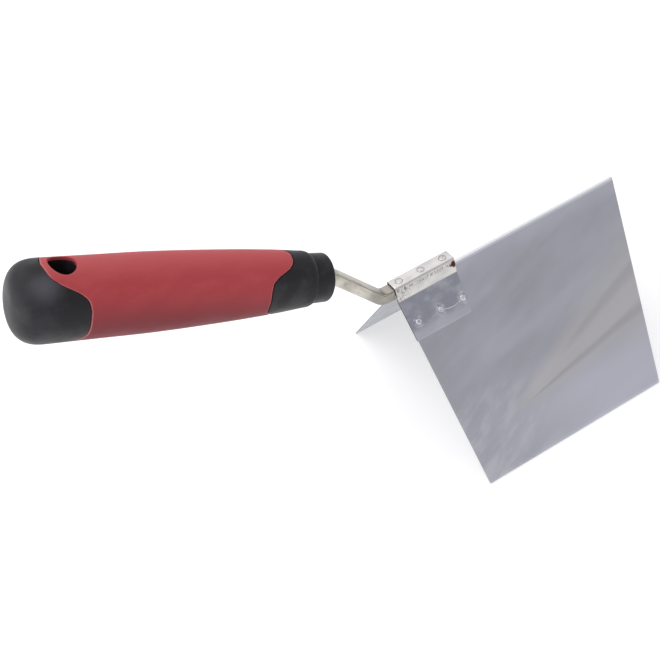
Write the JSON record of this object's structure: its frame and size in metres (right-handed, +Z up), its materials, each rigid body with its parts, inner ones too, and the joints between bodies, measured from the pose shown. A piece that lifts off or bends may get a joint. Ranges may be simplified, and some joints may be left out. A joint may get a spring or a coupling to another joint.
{
  "type": "corner trowel",
  "caption": "Hand trowel with a folded stainless V blade, a welded saddle, a cranked steel tang and a soft-grip handle, for smoothing plaster or joint compound along a wall corner.",
  "frame": {"origin": "On the surface that the blade's two outer edges stand on, below the middle of the whole tool's length and width.", "axes": "+X along the blade's fold towards its front edge, +Y across to the left wing, +Z up, halving the angle between the wings. The handle rises towards -X and +Z."},
  "size_m": [0.2836, 0.1306, 0.1784],
  "materials": {
    "stainless_blade": "rolled stainless sheet with soft cloudy wiping marks",
    "plated_saddle": "thin bright plating over pressed steel sheet, scuffed",
    "bar_steel": "drawn steel bar, dull and mottled",
    "weld_metal": "bright weld metal",
    "black_plastic": "moulded plastic with a fine satin grain",
    "red_soft_grip": "soft matt moulded grip"
  },
  "bodies": {
    "root": {"blade": "stainless_blade", "saddle_bracket": "plated_saddle", "tang": "bar_steel", "handle_core": "black_plastic", "grip_sleeve": "red_soft_grip", "web_weld_1": "weld_metal", "web_weld_2": "weld_metal", "web_weld_3": "weld_metal", "left_flange_weld_1": "weld_metal", "left_flange_weld_2": "weld_metal", "left_flange_weld_3": "weld_metal", "right_flange_weld_1": "weld_metal", "right_flange_weld_2": "weld_metal", "right_flange_weld_3": "weld_metal"}
  },
  "joints": []
}
